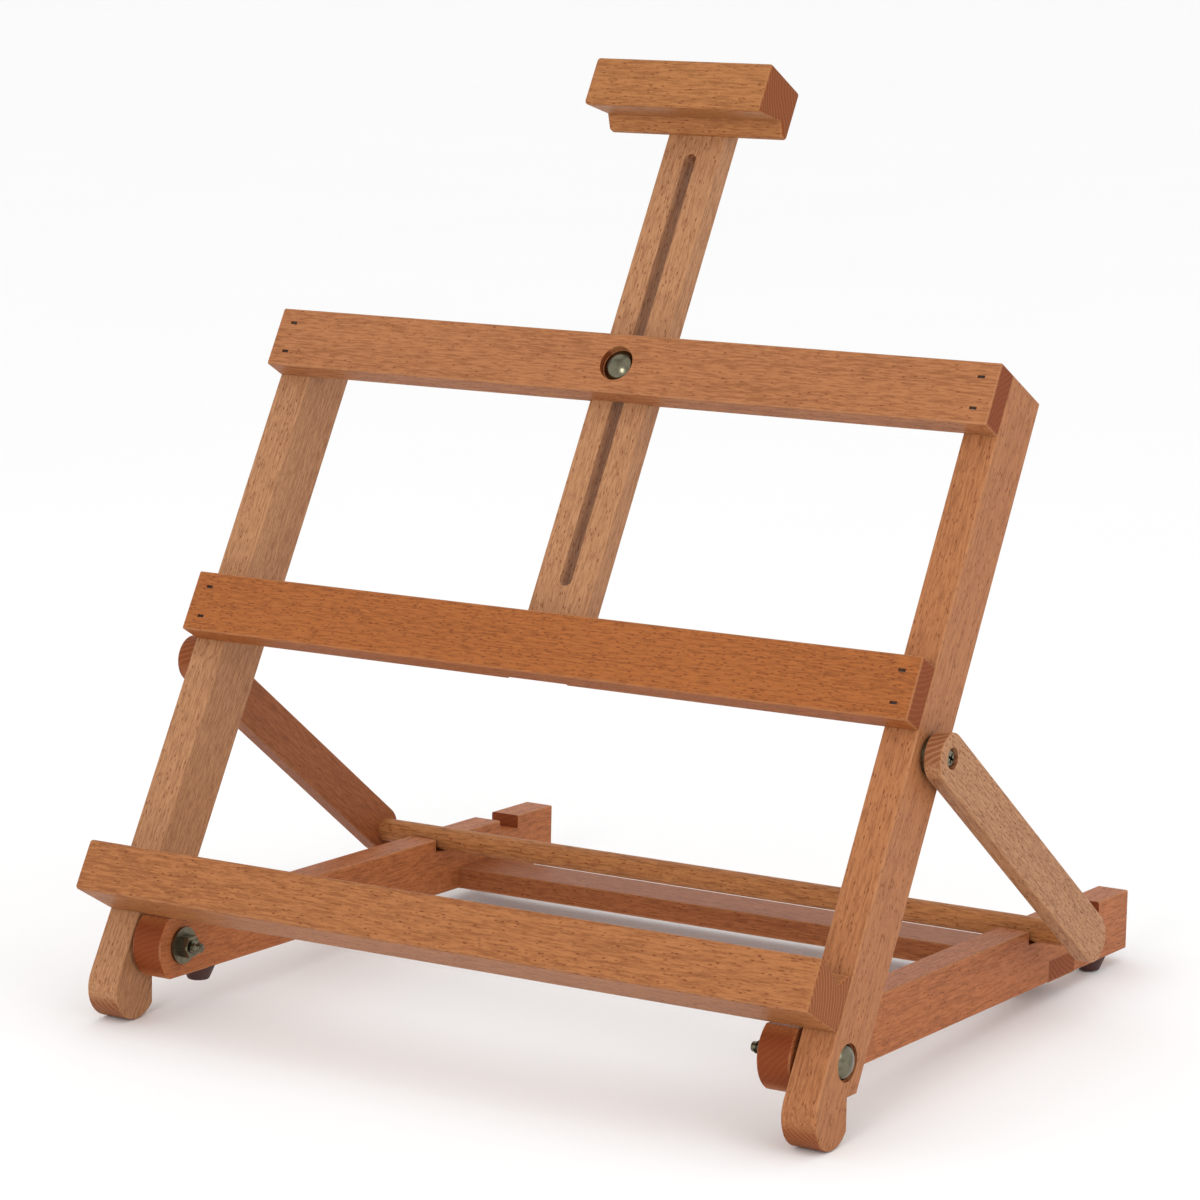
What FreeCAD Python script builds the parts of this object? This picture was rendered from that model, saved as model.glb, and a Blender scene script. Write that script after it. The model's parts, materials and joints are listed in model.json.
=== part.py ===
"""Table easel: a leaning frame hinged on a short base and held up by a folding prop.

Lengths are millimetres, X points right, Y points to the rear and Z points up. The origin is on
the ground, below the middle of the easel.

Three local frames are used, and each is placed in the next one:
  base   origin on the front pivot axis, Y along the base rails, Z square to them
  frame  origin on the front pivot axis, Z up along the stiles, Y square to the frame's face
  prop   origin on the strut pivot axis, Y along the struts towards the dowel
"""
import FreeCAD, Part
import math
import os

Vector = FreeCAD.Vector
X_AXIS = Vector(1, 0, 0)

# ---- overall sizes -------------------------------------------------------------------------
OVERALL_WIDTH = 400.0          # across the outer faces of the stiles
FRAME_HEIGHT = 322.0           # front pivot to the top of the stiles

# ---- frame: stiles and rails ---------------------------------------------------------------
STILE_WIDTH = 17.5
STILE_DEPTH = 32.0
TOE_LENGTH = 40.0              # front pivot to the round end of the toe
HEEL_SETBACK = 1.0             # heel cut's upright face, behind the front pivot
HEEL_DROP = 0.6                # heel cut's level face, below the base rails
RAIL_HEIGHT = 30.5
RAIL_THICKNESS = 13.7
MIDDLE_RAIL_RISE = 149.0       # front pivot to the rail's lower edge
GUIDE_DEPTH = 2.4              # housing in the back of each rail, for the mast
LEDGE_RISE = 8.4               # front pivot to the ledge's underside
NAIL_SPREAD = 15.4             # between the two brads at a rail's end

# ---- grooved moulding: the ledge, and turned over the clamp ---------------------------------
MOULDING_DEPTH = 31.6
MOULDING_HEIGHT = 25.6
MOULDING_EASE = 1.8            # rounding of its long edges
LIP_WIDTH = 4.0
GROOVE_SETBACK = 9.6           # lip's outer face to the bottom of the groove
GROOVE_DEPTH = 5.8

# ---- mast ----------------------------------------------------------------------------------
MAST_WIDTH = 32.0
MAST_THICKNESS = 12.0
MAST_FOOT = 11.0               # middle rail's lower edge to the mast's lower end
MAST_EXTENSION = 111.0         # top of the stiles to the clamp's underside
CLAMP_WIDTH = 98.2
CLAMP_HOUSING = 1.6            # depth of the mast in the back of the clamp
SLOT_PLAY = 0.5                # the slot is this much wider than its bolt
SLOT_END_WOOD = 37.0           # solid wood below the slot
SLOT_OVERRUN = 2.5             # slot left above the bolt once the clamp is down on the rail

# ---- base ----------------------------------------------------------------------------------
BASE_RAIL_WIDTH = 16.7
BASE_RAIL_HEIGHT = 30.0
PIVOT_ABOVE_UNDERSIDE = 15.4
BASE_OVERHANG = 8.8            # base rails' rear end beyond the stiles' length
REAR_TOOTH = 34.6
MIDDLE_TOOTH = 43.7
NOTCH_LENGTH = 17.6
NOTCH_DEPTH = 7.0
CROSSBAR_WIDTH = 30.0
CROSSBAR_THICKNESS = 11.3
CROSSBAR_SETBACK = 5.6         # behind the front notch
FOOT_DIAMETER = 16.5            # at the base rail
FOOT_FACE_DIAMETER = 10.4      # at the ground
FOOT_HEIGHT = 7.0
FOOT_EDGE = 1.2
FRONT_FOOT_SETBACK = 24.0      # behind the front pivot
REAR_FOOT_INSET = 26.0         # in front of the base rails' rear end

# ---- prop ----------------------------------------------------------------------------------
STRUT_PIVOT_RISE = 143.3       # front pivot to the strut pivot
STRUT_WIDTH = 23.2
STRUT_THICKNESS = 8.8
DOWEL_DIAMETER = 12.0
DOWEL_SOCKET = 6.0             # depth of the dowel in each strut

# ---- hardware ------------------------------------------------------------------------------
BOLT_DIAMETER = 6.0
BOLT_HEAD_DIAMETER = 16.5
BOLT_HEAD_HEIGHT = 3.6
BOLT_NECK_LENGTH = 4.0
BOLT_TAIL = 5.0                # thread beyond the nut
HEAD_PLAY = 0.9                # the recesses are this much wider than the bolt heads
COUNTERBORE_DEPTH = 3.4
PIVOT_RECESS_DEPTH = 1.6
NUT_WIDTH = 10.0
NUT_HEIGHT = 5.0
WASHER_DIAMETER = 18.0
WASHER_THICKNESS = 1.6
SPACER_DIAMETER = 18.0
BASE_SPACER_THICKNESS = 1.6
STRUT_SPACER_THICKNESS = 2.6
WING_SPAN = 33.0
WING_HEIGHT = 16.0
WING_THICKNESS = 2.8
HUB_DIAMETER = 13.0
HUB_HEIGHT = 8.0
STRUT_SCREW_DIAMETER = 5.0
STRUT_SCREW_LENGTH = 22.0
STRUT_SCREW_HEAD = 8.6
STRUT_SCREW_RECESS = 10.2
STRUT_SCREW_RECESS_DEPTH = 4.0
WOOD_SCREW_DIAMETER = 4.0
WOOD_SCREW_HEAD = 8.0
LEDGE_SCREW_SINK = 12.0        # heads of the ledge's screws, below the stiles' backs
LEDGE_SCREW_LENGTH = 40.0
CLAMP_SCREW_LENGTH = 30.0
CLAMP_SCREW_SPREAD = 16.0
CROSSBAR_SCREW_LENGTH = 22.0
FOOT_SCREW_DIAMETER = 3.2
FOOT_SCREW_HEAD = 6.4
FOOT_SCREW_LENGTH = 14.0
FOOT_SCREW_SINK = 4.4          # heads of the feet's screws, above the feet's undersides
BRAD_HEAD_LENGTH = 3.6
BRAD_HEAD_WIDTH = 1.4
BRAD_LENGTH = 32.0
BRAD_SINK = 0.6

# ---- clearances ----------------------------------------------------------------------------
RUNNING_GAP = 0.08             # radial, where a hole turns on a pin
FIT_GAP = 0.05                 # round a fastener in its hole
SIDE_GAP = 0.10                # each side of a spacer between parts that turn
GUIDE_SIDE_GAP = 0.6           # each side of the mast in its housings
GUIDE_GAP = 0.1                # in front of the mast and behind it
STOP_GAP = 0.3                 # kept at the end of a travel
DOWEL_SEAT_GAP = 0.15          # under the dowel in its notch
DOWEL_BACK_GAP = 2.3           # behind the dowel in its notch
FOLD_GAP = 0.4                 # dowel to the base rails' ends when everything is folded flat
LEDGE_SWING_GAP = 0.5          # ledge to the rounded front ends of the base rails
EDGE_EASE = 0.9                # rounding of every long wooden edge

# ---- values that follow --------------------------------------------------------------------
BOLT_RADIUS = BOLT_DIAMETER / 2
DOWEL_RADIUS = DOWEL_DIAMETER / 2
STILE_OUTER = OVERALL_WIDTH / 2
STILE_INNER = STILE_OUTER - STILE_WIDTH
STILE_FRONT = -STILE_DEPTH / 2
STILE_BACK = STILE_DEPTH / 2
RAIL_FRONT = STILE_FRONT - RAIL_THICKNESS
TOP_RAIL_RISE = FRAME_HEIGHT - RAIL_HEIGHT
MAST_BOLT_RISE = TOP_RAIL_RISE + RAIL_HEIGHT / 2
LEDGE_SCREW_RISE = LEDGE_RISE + MOULDING_HEIGHT / 2
MAST_FRONT = STILE_FRONT - GUIDE_DEPTH + GUIDE_GAP
MAST_BACK = MAST_FRONT + MAST_THICKNESS
MAST_BOTTOM = MIDDLE_RAIL_RISE + MAST_FOOT
CLAMP_RISE = FRAME_HEIGHT + MAST_EXTENSION
MAST_TOP = CLAMP_RISE + MOULDING_HEIGHT
SLOT_WIDTH = BOLT_DIAMETER + SLOT_PLAY
SLOT_BOTTOM = MAST_BOTTOM + SLOT_END_WOOD
SLOT_TOP = MAST_BOLT_RISE + MAST_EXTENSION + SLOT_OVERRUN + BOLT_RADIUS
MAST_RAISE = MAST_BOLT_RISE - BOLT_RADIUS - SLOT_BOTTOM - STOP_GAP
MAST_LOWER = MAST_EXTENSION - STOP_GAP

BASE_OUTER = STILE_INNER - BASE_SPACER_THICKNESS - 2 * SIDE_GAP
BASE_INNER = BASE_OUTER - BASE_RAIL_WIDTH
BASE_MIDDLE = (BASE_OUTER + BASE_INNER) / 2
BASE_UNDERSIDE = -PIVOT_ABOVE_UNDERSIDE
BASE_TOP = BASE_UNDERSIDE + BASE_RAIL_HEIGHT
BASE_REAR = FRAME_HEIGHT + BASE_OVERHANG
BASE_END_RADIUS = math.hypot(LEDGE_RISE, STILE_DEPTH / 2) - LEDGE_SWING_GAP
REAR_NOTCH = BASE_REAR - REAR_TOOTH - NOTCH_LENGTH
FRONT_NOTCH = REAR_NOTCH - MIDDLE_TOOTH - NOTCH_LENGTH
NOTCH_FLOOR = BASE_TOP - NOTCH_DEPTH
CROSSBAR_FRONT = FRONT_NOTCH + NOTCH_LENGTH + CROSSBAR_SETBACK
FOOT_SETBACKS = {"front": FRONT_FOOT_SETBACK, "rear": BASE_REAR - REAR_FOOT_INSET}
HEAD_RECESS_RADIUS = (BOLT_HEAD_DIAMETER + HEAD_PLAY) / 2
FOOT_FLARE = math.atan2((FOOT_DIAMETER - FOOT_FACE_DIAMETER) / 2, FOOT_HEIGHT)
FOOT_RIM_RADIUS = FOOT_FACE_DIAMETER / 2 - FOOT_EDGE * math.tan((math.pi / 2 - FOOT_FLARE) / 2)
SIDES = {"left": -1, "right": 1}

STRUT_INNER = STILE_OUTER + STRUT_SPACER_THICKNESS + 2 * SIDE_GAP
STRUT_OUTER = STRUT_INNER + STRUT_THICKNESS
STRUT_REACH = BASE_REAR + FOLD_GAP + DOWEL_RADIUS - STRUT_PIVOT_RISE
DOWEL_Y = FRONT_NOTCH + NOTCH_LENGTH - DOWEL_BACK_GAP - DOWEL_RADIUS
DOWEL_Z = NOTCH_FLOOR + DOWEL_SEAT_GAP + DOWEL_RADIUS


def triangle_lean():
    """Lean of the stiles from the base's Z, in degrees, with the dowel in the front notch."""
    dowel_distance = math.hypot(DOWEL_Y, DOWEL_Z)
    along_stile = (STRUT_PIVOT_RISE**2 + dowel_distance**2 - STRUT_REACH**2) / (2 * STRUT_PIVOT_RISE)
    return math.degrees(math.asin(along_stile / dowel_distance) - math.atan2(DOWEL_Z, DOWEL_Y))


LEAN = triangle_lean()
FRAME_IN_BASE = FreeCAD.Placement(Vector(), FreeCAD.Rotation(X_AXIS, -LEAN))
STRUT_PIVOT = FRAME_IN_BASE.multVec(Vector(0, 0, STRUT_PIVOT_RISE))
STRUT_DROP = math.degrees(math.atan2(STRUT_PIVOT.z - DOWEL_Z, DOWEL_Y - STRUT_PIVOT.y))
PROP_IN_BASE = FreeCAD.Placement(STRUT_PIVOT, FreeCAD.Rotation(X_AXIS, -STRUT_DROP))
PROP_SWING = 90.0 - LEAN + STRUT_DROP


def ground_placement():
    """The base on level ground: it stands on the two round toes and the rims of the rear feet."""
    toe = FRAME_IN_BASE.multVec(Vector(0, 0, STILE_DEPTH / 2 - TOE_LENGTH))
    rim_y = FOOT_SETBACKS["rear"] + FOOT_RIM_RADIUS
    rim_z = BASE_UNDERSIDE - FOOT_HEIGHT + FOOT_EDGE
    run = rim_y - toe.y
    rise = toe.z - rim_z
    drop = STILE_DEPTH / 2 - FOOT_EDGE
    tilt = math.asin(drop / math.hypot(run, rise)) - math.atan2(rise, run)
    height = STILE_DEPTH / 2 + toe.y * math.sin(tilt) - toe.z * math.cos(tilt)
    return FreeCAD.Placement(Vector(0, 0, height), FreeCAD.Rotation(X_AXIS, -math.degrees(tilt)))


BASE_ON_GROUND = ground_placement()
FRAME_ON_GROUND = BASE_ON_GROUND * FRAME_IN_BASE
PROP_ON_GROUND = BASE_ON_GROUND * PROP_IN_BASE


# ---- shape helpers -------------------------------------------------------------------------
def block(x0, x1, y0, y1, z0, z1):
    """A box between two opposite corners."""
    return Part.makeBox(x1 - x0, y1 - y0, z1 - z0, Vector(x0, y0, z0))


def rod(radius, start, end):
    """A round rod between two points."""
    axis = end - start
    return Part.makeCylinder(radius, axis.Length, start, axis)


def aimed(shape, position, direction):
    """A fastener modelled along +Z, moved to a position and aimed along a direction."""
    turn = FreeCAD.Rotation(Vector(0, 0, 1), direction)
    return moved(shape, FreeCAD.Placement(position, turn))


def moved(shape, placement):
    """A copy of a shape, placed."""
    return shape.transformed(placement.toMatrix(), True)


def joined(shapes):
    """Several overlapping shapes as one solid."""
    return shapes[0].fuse(shapes[1:]).removeSplitter()


def eased(solid, chosen=None, radius=EDGE_EASE):
    """A wooden solid with its edges rounded; `chosen` picks edges by their middle point."""
    edges = [edge for edge in solid.Edges if chosen is None or chosen(edge.CenterOfMass)]
    return solid.makeFillet(radius, edges)


def side_bar(outline, x0, x1):
    """A flat outline given as (y, z) corners, made into a bar between two X positions."""
    corners = [Vector(x0, y, z) for y, z in outline]
    face = Part.Face(Part.makePolygon(corners + corners[:1]))
    return face.extrude(Vector(x1 - x0, 0, 0))


def grouped(solids):
    """Identical fasteners as one group of separate solids."""
    return Part.makeCompound(solids)


# ---- fasteners, each along +Z with its seat at z = 0 ----------------------------------------
def carriage_bolt(length, grow=0.0):
    """Domed head below z = 0, square neck and plain shank above it."""
    head_radius = BOLT_HEAD_DIAMETER / 2 + grow
    height = BOLT_HEAD_HEIGHT + grow
    sphere_radius = (head_radius**2 + height**2) / (2 * height)
    centre = Vector(0, 0, sphere_radius - height)
    head = Part.makeSphere(sphere_radius, centre)
    head = head.common(block(-head_radius, head_radius, -head_radius, head_radius, -height, 0))
    half_neck = BOLT_RADIUS + grow
    neck = block(-half_neck, half_neck, -half_neck, half_neck, 0, BOLT_NECK_LENGTH + grow)
    shank = Part.makeCylinder(BOLT_RADIUS + grow, length)
    return joined([head, neck, shank])


def washer(outer_diameter, thickness, bore_radius):
    """A flat ring standing on z = 0."""
    ring = Part.makeCylinder(outer_diameter / 2, thickness)
    return ring.cut(Part.makeCylinder(bore_radius, thickness))


def hex_nut():
    """A hexagon nut standing on z = 0, with its corners turned off."""
    corner_radius = NUT_WIDTH / math.sqrt(3)
    corners = []
    for step in range(6):
        angle = math.radians(60 * step)
        corners.append(Vector(corner_radius * math.cos(angle), corner_radius * math.sin(angle), 0))
    prism = Part.Face(Part.makePolygon(corners + corners[:1])).extrude(Vector(0, 0, NUT_HEIGHT))
    base_radius = corner_radius + NUT_HEIGHT / math.tan(math.radians(30))
    tip_radius = NUT_WIDTH / 2 * 0.96
    cone = Part.makeCone(tip_radius + (base_radius - corner_radius), tip_radius, NUT_HEIGHT)
    return prism.common(cone).cut(Part.makeCylinder(BOLT_RADIUS + FIT_GAP, NUT_HEIGHT))


def wing_nut():
    """A hub standing on z = 0 with two upswept wings along X."""
    hub = Part.makeCone(HUB_DIAMETER / 2, HUB_DIAMETER / 2 - 1.2, HUB_HEIGHT)
    tip_radius = 4.2
    tip = Vector(WING_SPAN / 2 - tip_radius, 0, WING_HEIGHT - tip_radius)
    root = Vector(HUB_DIAMETER / 4, 0, HUB_HEIGHT / 2)
    shapes = [hub]
    for side in (-1, 1):
        shapes.append(wing(Vector(side * root.x, 0, root.z), Vector(side * tip.x, 0, tip.z), tip_radius))
    bore = Part.makeCylinder(BOLT_RADIUS + RUNNING_GAP, WING_HEIGHT)
    return joined(shapes).cut(bore)


def wing(root, tip, tip_radius):
    """One flat wing: a round tip joined to a narrower root by its two tangent sides."""
    half = WING_THICKNESS / 2
    root_radius = HUB_HEIGHT / 2 * 0.85
    across = (tip - root).cross(Vector(0, 1, 0)).normalize()
    corners = [root + across * root_radius, tip + across * tip_radius]
    corners += [tip - across * tip_radius, root - across * root_radius]
    corners = [corner - Vector(0, half, 0) for corner in corners]
    web = Part.Face(Part.makePolygon(corners + corners[:1])).extrude(Vector(0, WING_THICKNESS, 0))
    thickness = Vector(0, half, 0)
    return joined([web, rod(tip_radius, tip - thickness, tip + thickness)])


def cross_recess(width, depth):
    """The cross cut into a screw head, from z = 0 down into it (towards +Z)."""
    half = width / 2
    slot = width * 0.13
    arms = [block(-half, half, -slot, slot, 0, depth), block(-slot, slot, -half, half, 0, depth)]
    return joined(arms)


def pan_screw(diameter, length, head_diameter, grow=0.0):
    """A pan head below z = 0 and a shank with a point above it."""
    head_height = head_diameter * 0.36
    head = Part.makeCylinder(head_diameter / 2 + grow, head_height, Vector(0, 0, -head_height))
    if not grow:
        rim = [edge for edge in head.Edges if edge.CenterOfMass.z < -head_height / 2 and edge.Closed]
        head = head.makeFillet(head_height * 0.6, rim)
        recess = cross_recess(head_diameter * 0.55, head_height * 0.7)
        head = head.cut(moved(recess, FreeCAD.Placement(Vector(0, 0, -head_height), FreeCAD.Rotation())))
    return joined([head, pointed_shank(diameter, length, grow)])


def flat_screw(diameter, length, head_diameter, grow=0.0):
    """A countersunk head whose face is at z = 0, and a shank with a point."""
    head_height = (head_diameter - diameter) / 2
    head = Part.makeCone(head_diameter / 2 + grow, diameter / 2 + grow, head_height)
    screw = joined([head, pointed_shank(diameter, length, grow)])
    if grow:
        return screw
    return screw.cut(cross_recess(head_diameter * 0.55, head_height * 0.8))


def pointed_shank(diameter, length, grow):
    """A round shank from z = 0, ending in a short cone."""
    radius = diameter / 2 + grow
    point = diameter * 0.8
    shank = Part.makeCylinder(radius, length - point)
    tip = Part.makeCone(radius, radius * 0.15, point + grow, Vector(0, 0, length - point))
    return joined([shank, tip])


def brad(grow=0.0):
    """A brad with an oblong head along X, driven along +Z; its head's face is at z = 0."""
    half_head = BRAD_HEAD_LENGTH / 2 + grow
    half_wire = BRAD_HEAD_WIDTH / 2 + grow
    head = block(-half_head, half_head, -half_wire, half_wire, 0, BRAD_HEAD_WIDTH + grow)
    wire = block(-half_wire, half_wire, -half_wire, half_wire, 0, BRAD_LENGTH + grow)
    return joined([head, wire])


# ---- where the fasteners are ---------------------------------------------------------------
def brads(rise, grow=0.0):
    """The brads that hold a rail: two at each end, into the middle of the stile's front."""
    placed = []
    middle = (STILE_OUTER + STILE_INNER) / 2
    depth = RAIL_FRONT + BRAD_SINK
    for side in SIDES.values():
        for step in (-0.5, 0.5):
            height = rise + RAIL_HEIGHT / 2 + step * NAIL_SPREAD
            turn = FreeCAD.Rotation(X_AXIS, -90)
            seat = FreeCAD.Placement(Vector(side * middle, depth, height), turn)
            placed.append(moved(brad(grow), seat))
    return placed


def brad_pockets(rise):
    """The oblong pits over the sunk brads."""
    pits = []
    half_length = BRAD_HEAD_LENGTH / 2 + FIT_GAP
    half_width = BRAD_HEAD_WIDTH / 2 + FIT_GAP
    middle = (STILE_OUTER + STILE_INNER) / 2
    for side in SIDES.values():
        for step in (-0.5, 0.5):
            x = side * middle
            z = rise + RAIL_HEIGHT / 2 + step * NAIL_SPREAD
            mouth = RAIL_FRONT - EDGE_EASE
            floor = RAIL_FRONT + BRAD_SINK + FIT_GAP
            pits.append(block(x - half_length, x + half_length, mouth, floor, z - half_width, z + half_width))
    return pits


def ledge_screws(grow=0.0):
    """One screw through each stile from behind, into the ledge."""
    seat = STILE_BACK - LEDGE_SCREW_SINK
    middle = (STILE_OUTER + STILE_INNER) / 2
    screw = pan_screw(WOOD_SCREW_DIAMETER, LEDGE_SCREW_LENGTH, WOOD_SCREW_HEAD, grow)
    return [aimed(screw, Vector(side * middle, seat, LEDGE_SCREW_RISE), Vector(0, -1, 0))
            for side in SIDES.values()]


def clamp_screws(grow=0.0):
    """Two countersunk screws through the mast from behind, into the clamp."""
    screw = flat_screw(WOOD_SCREW_DIAMETER, CLAMP_SCREW_LENGTH, WOOD_SCREW_HEAD, grow)
    height = CLAMP_RISE + MOULDING_HEIGHT * 0.6
    return [aimed(screw, Vector(side * CLAMP_SCREW_SPREAD / 2, MAST_BACK, height), Vector(0, -1, 0))
            for side in SIDES.values()]


def crossbar_screws(grow=0.0):
    """One countersunk screw up through each end of the crossbar, into the base rail."""
    screw = flat_screw(WOOD_SCREW_DIAMETER, CROSSBAR_SCREW_LENGTH, WOOD_SCREW_HEAD, grow)
    middle = CROSSBAR_FRONT + CROSSBAR_WIDTH / 2
    return [aimed(screw, Vector(side * BASE_MIDDLE, middle, BASE_UNDERSIDE), Vector(0, 0, 1))
            for side in SIDES.values()]


def foot_screw(side, end, grow=0.0):
    """The screw that holds one foot, sunk in the foot's underside."""
    screw = pan_screw(FOOT_SCREW_DIAMETER, FOOT_SCREW_LENGTH, FOOT_SCREW_HEAD, grow)
    seat = BASE_UNDERSIDE - FOOT_HEIGHT + FOOT_SCREW_SINK
    return aimed(screw, Vector(SIDES[side] * BASE_MIDDLE, FOOT_SETBACKS[end], seat), Vector(0, 0, 1))


def pivot_bolt(side, grow=0.0):
    """A carriage bolt from the stile's outer face, through stile, spacer, base rail and nut."""
    seat = STILE_OUTER - PIVOT_RECESS_DEPTH
    length = seat - BASE_INNER + SIDE_GAP + WASHER_THICKNESS + NUT_HEIGHT + BOLT_TAIL
    return aimed(carriage_bolt(length, grow), Vector(side * seat, 0, 0), Vector(-side, 0, 0))


def mast_bolt(grow=0.0):
    """A carriage bolt sunk in the top rail, pointing back through the mast's slot."""
    seat = RAIL_FRONT + COUNTERBORE_DEPTH
    length = MAST_BACK + GUIDE_GAP + WASHER_THICKNESS + HUB_HEIGHT + BOLT_TAIL - seat
    return aimed(carriage_bolt(length, grow), Vector(0, seat, MAST_BOLT_RISE), Vector(0, 1, 0))


def strut_screw(side, grow=0.0):
    """The screw that a strut turns on, driven into the stile's outer face (frame coordinates)."""
    seat = STRUT_OUTER - STRUT_SCREW_RECESS_DEPTH
    screw = pan_screw(STRUT_SCREW_DIAMETER, STRUT_SCREW_LENGTH, STRUT_SCREW_HEAD, grow)
    return aimed(screw, Vector(side * seat, 0, STRUT_PIVOT_RISE), Vector(-side, 0, 0))


# ---- wooden pieces of the frame ------------------------------------------------------------
def stile(side):
    """An upright with a round toe and a square heel cut behind it."""
    x0, x1 = sorted((side * STILE_INNER, side * STILE_OUTER))
    radius = STILE_DEPTH / 2
    shaft = block(x0, x1, STILE_FRONT, STILE_BACK, radius - TOE_LENGTH, FRAME_HEIGHT)
    toe_centre = radius - TOE_LENGTH
    toe = rod(radius, Vector(x0, 0, toe_centre), Vector(x1, 0, toe_centre))
    heel_top = BASE_UNDERSIDE - HEEL_DROP
    heel = block(x0, x1, HEEL_SETBACK, HEEL_SETBACK + STILE_DEPTH * 2, heel_top - TOE_LENGTH * 2, heel_top)
    body = joined([shaft, toe]).cut(moved(heel, FRAME_IN_BASE.inverse()))

    def on_a_side_face(point):
        return min(abs(point.x - x0), abs(point.x - x1)) < 0.01

    body = eased(body, on_a_side_face)
    cuts = [pivot_bolt(side, FIT_GAP), strut_screw(side, FIT_GAP)]
    cuts += ledge_screws(FIT_GAP) + brads(TOP_RAIL_RISE, FIT_GAP) + brads(MIDDLE_RAIL_RISE, FIT_GAP)
    screw_seat = Vector((x0 + x1) / 2, STILE_BACK - LEDGE_SCREW_SINK, LEDGE_SCREW_RISE)
    cuts.append(rod(WOOD_SCREW_HEAD / 2 + FIT_GAP, screw_seat, screw_seat + Vector(0, STILE_DEPTH, 0)))
    recess_floor = Vector(side * (STILE_OUTER - PIVOT_RECESS_DEPTH), 0, 0)
    cuts.append(rod(HEAD_RECESS_RADIUS, recess_floor, recess_floor + Vector(side * STILE_WIDTH, 0, 0)))
    return body.cut(cuts)


def rail(rise):
    """A cross rail on the stiles' front faces, housed at the back for the mast."""
    body = eased(block(-STILE_OUTER, STILE_OUTER, RAIL_FRONT, STILE_FRONT, rise, rise + RAIL_HEIGHT))
    half_guide = MAST_WIDTH / 2 + GUIDE_SIDE_GAP
    guide = block(-half_guide, half_guide, STILE_FRONT - GUIDE_DEPTH, STILE_FRONT + 1,
                  rise - 1, rise + RAIL_HEIGHT + 1)
    return body.cut([guide] + brads(rise, FIT_GAP) + brad_pockets(rise))


def top_rail():
    """The top rail also has the counterbored hole for the mast's bolt."""
    mouth = rod(HEAD_RECESS_RADIUS, Vector(0, RAIL_FRONT - 1, MAST_BOLT_RISE),
                Vector(0, RAIL_FRONT + COUNTERBORE_DEPTH, MAST_BOLT_RISE))
    return rail(TOP_RAIL_RISE).cut([mouth, mast_bolt(FIT_GAP)])


def moulding(width):
    """The grooved bar standing on z = 0: its lip at -y, its long slope rising to y = 0."""
    front = -MOULDING_DEPTH
    outline = [(front, 0), (0, 0), (0, MOULDING_HEIGHT)]
    groove_floor = MOULDING_HEIGHT - GROOVE_DEPTH
    outline += [(front + GROOVE_SETBACK, groove_floor)]
    outline += [(front + LIP_WIDTH, MOULDING_HEIGHT), (front, MOULDING_HEIGHT)]

    def off_the_groove(point):
        return abs(point.z - groove_floor) > 0.01 or abs(point.x) > 0.01

    return eased(side_bar(outline, -width / 2, width / 2), off_the_groove, MOULDING_EASE)


def ledge():
    """The shelf that a canvas stands on: groove upwards, lip against the stiles."""
    turn = FreeCAD.Rotation(Vector(0, 0, 1), 180)
    seat = Vector(0, STILE_FRONT - MOULDING_DEPTH, LEDGE_RISE)
    bar = moved(moulding(OVERALL_WIDTH), FreeCAD.Placement(seat, turn))
    return bar.cut(ledge_screws(FIT_GAP))


def mast_clamp():
    """The same bar, short and turned over: groove down, and housed on the mast."""
    turn = FreeCAD.Rotation(X_AXIS, 180)
    seat = Vector(0, MAST_FRONT + CLAMP_HOUSING - MOULDING_DEPTH, CLAMP_RISE + MOULDING_HEIGHT)
    bar = moved(moulding(CLAMP_WIDTH), FreeCAD.Placement(seat, turn))
    half = MAST_WIDTH / 2
    housing = block(-half, half, MAST_FRONT, MAST_BACK, CLAMP_RISE - 1, MAST_TOP + 1)
    return bar.cut([housing] + clamp_screws(FIT_GAP))


def mast():
    """The sliding upright, with a long round-ended slot for its bolt."""
    half = MAST_WIDTH / 2
    body = eased(block(-half, half, MAST_FRONT, MAST_BACK, MAST_BOTTOM, MAST_TOP))
    radius = SLOT_WIDTH / 2
    front = MAST_FRONT - 1
    back = MAST_BACK + 1
    ends = [SLOT_BOTTOM + radius, SLOT_TOP - radius]
    slot = [block(-radius, radius, front, back, ends[0], ends[1])]
    slot += [rod(radius, Vector(0, front, height), Vector(0, back, height)) for height in ends]
    return body.cut([joined(slot)] + clamp_screws(FIT_GAP))


# ---- wooden pieces of the base and the prop -------------------------------------------------
def base_rail(side):
    """A side member of the base: round front end, and two notches that leave three teeth."""
    x0, x1 = sorted((side * BASE_INNER, side * BASE_OUTER))
    straight = block(x0, x1, -BASE_END_RADIUS, BASE_REAR, BASE_UNDERSIDE, BASE_TOP)
    end = rod(BASE_END_RADIUS, Vector(x0, 0, 0), Vector(x1, 0, 0))
    body = straight.common(joined([end, block(x0, x1, 0, BASE_REAR, BASE_UNDERSIDE - 1, BASE_TOP + 1)]))
    body = eased(body.removeSplitter())
    cuts = [block(x0 - 1, x1 + 1, start, start + NOTCH_LENGTH, NOTCH_FLOOR, BASE_TOP + 1)
            for start in (FRONT_NOTCH, REAR_NOTCH)]
    cuts.append(block(x0 - 1, x1 + 1, CROSSBAR_FRONT, CROSSBAR_FRONT + CROSSBAR_WIDTH,
                      BASE_UNDERSIDE - 1, BASE_UNDERSIDE + CROSSBAR_THICKNESS))
    cuts.append(rod(BOLT_RADIUS + RUNNING_GAP, Vector(x0 - 1, 0, 0), Vector(x1 + 1, 0, 0)))
    cuts += crossbar_screws(FIT_GAP)
    cuts += [foot_screw(name, end_name, FIT_GAP) for name in SIDES for end_name in FOOT_SETBACKS]
    return body.cut(cuts)


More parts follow.
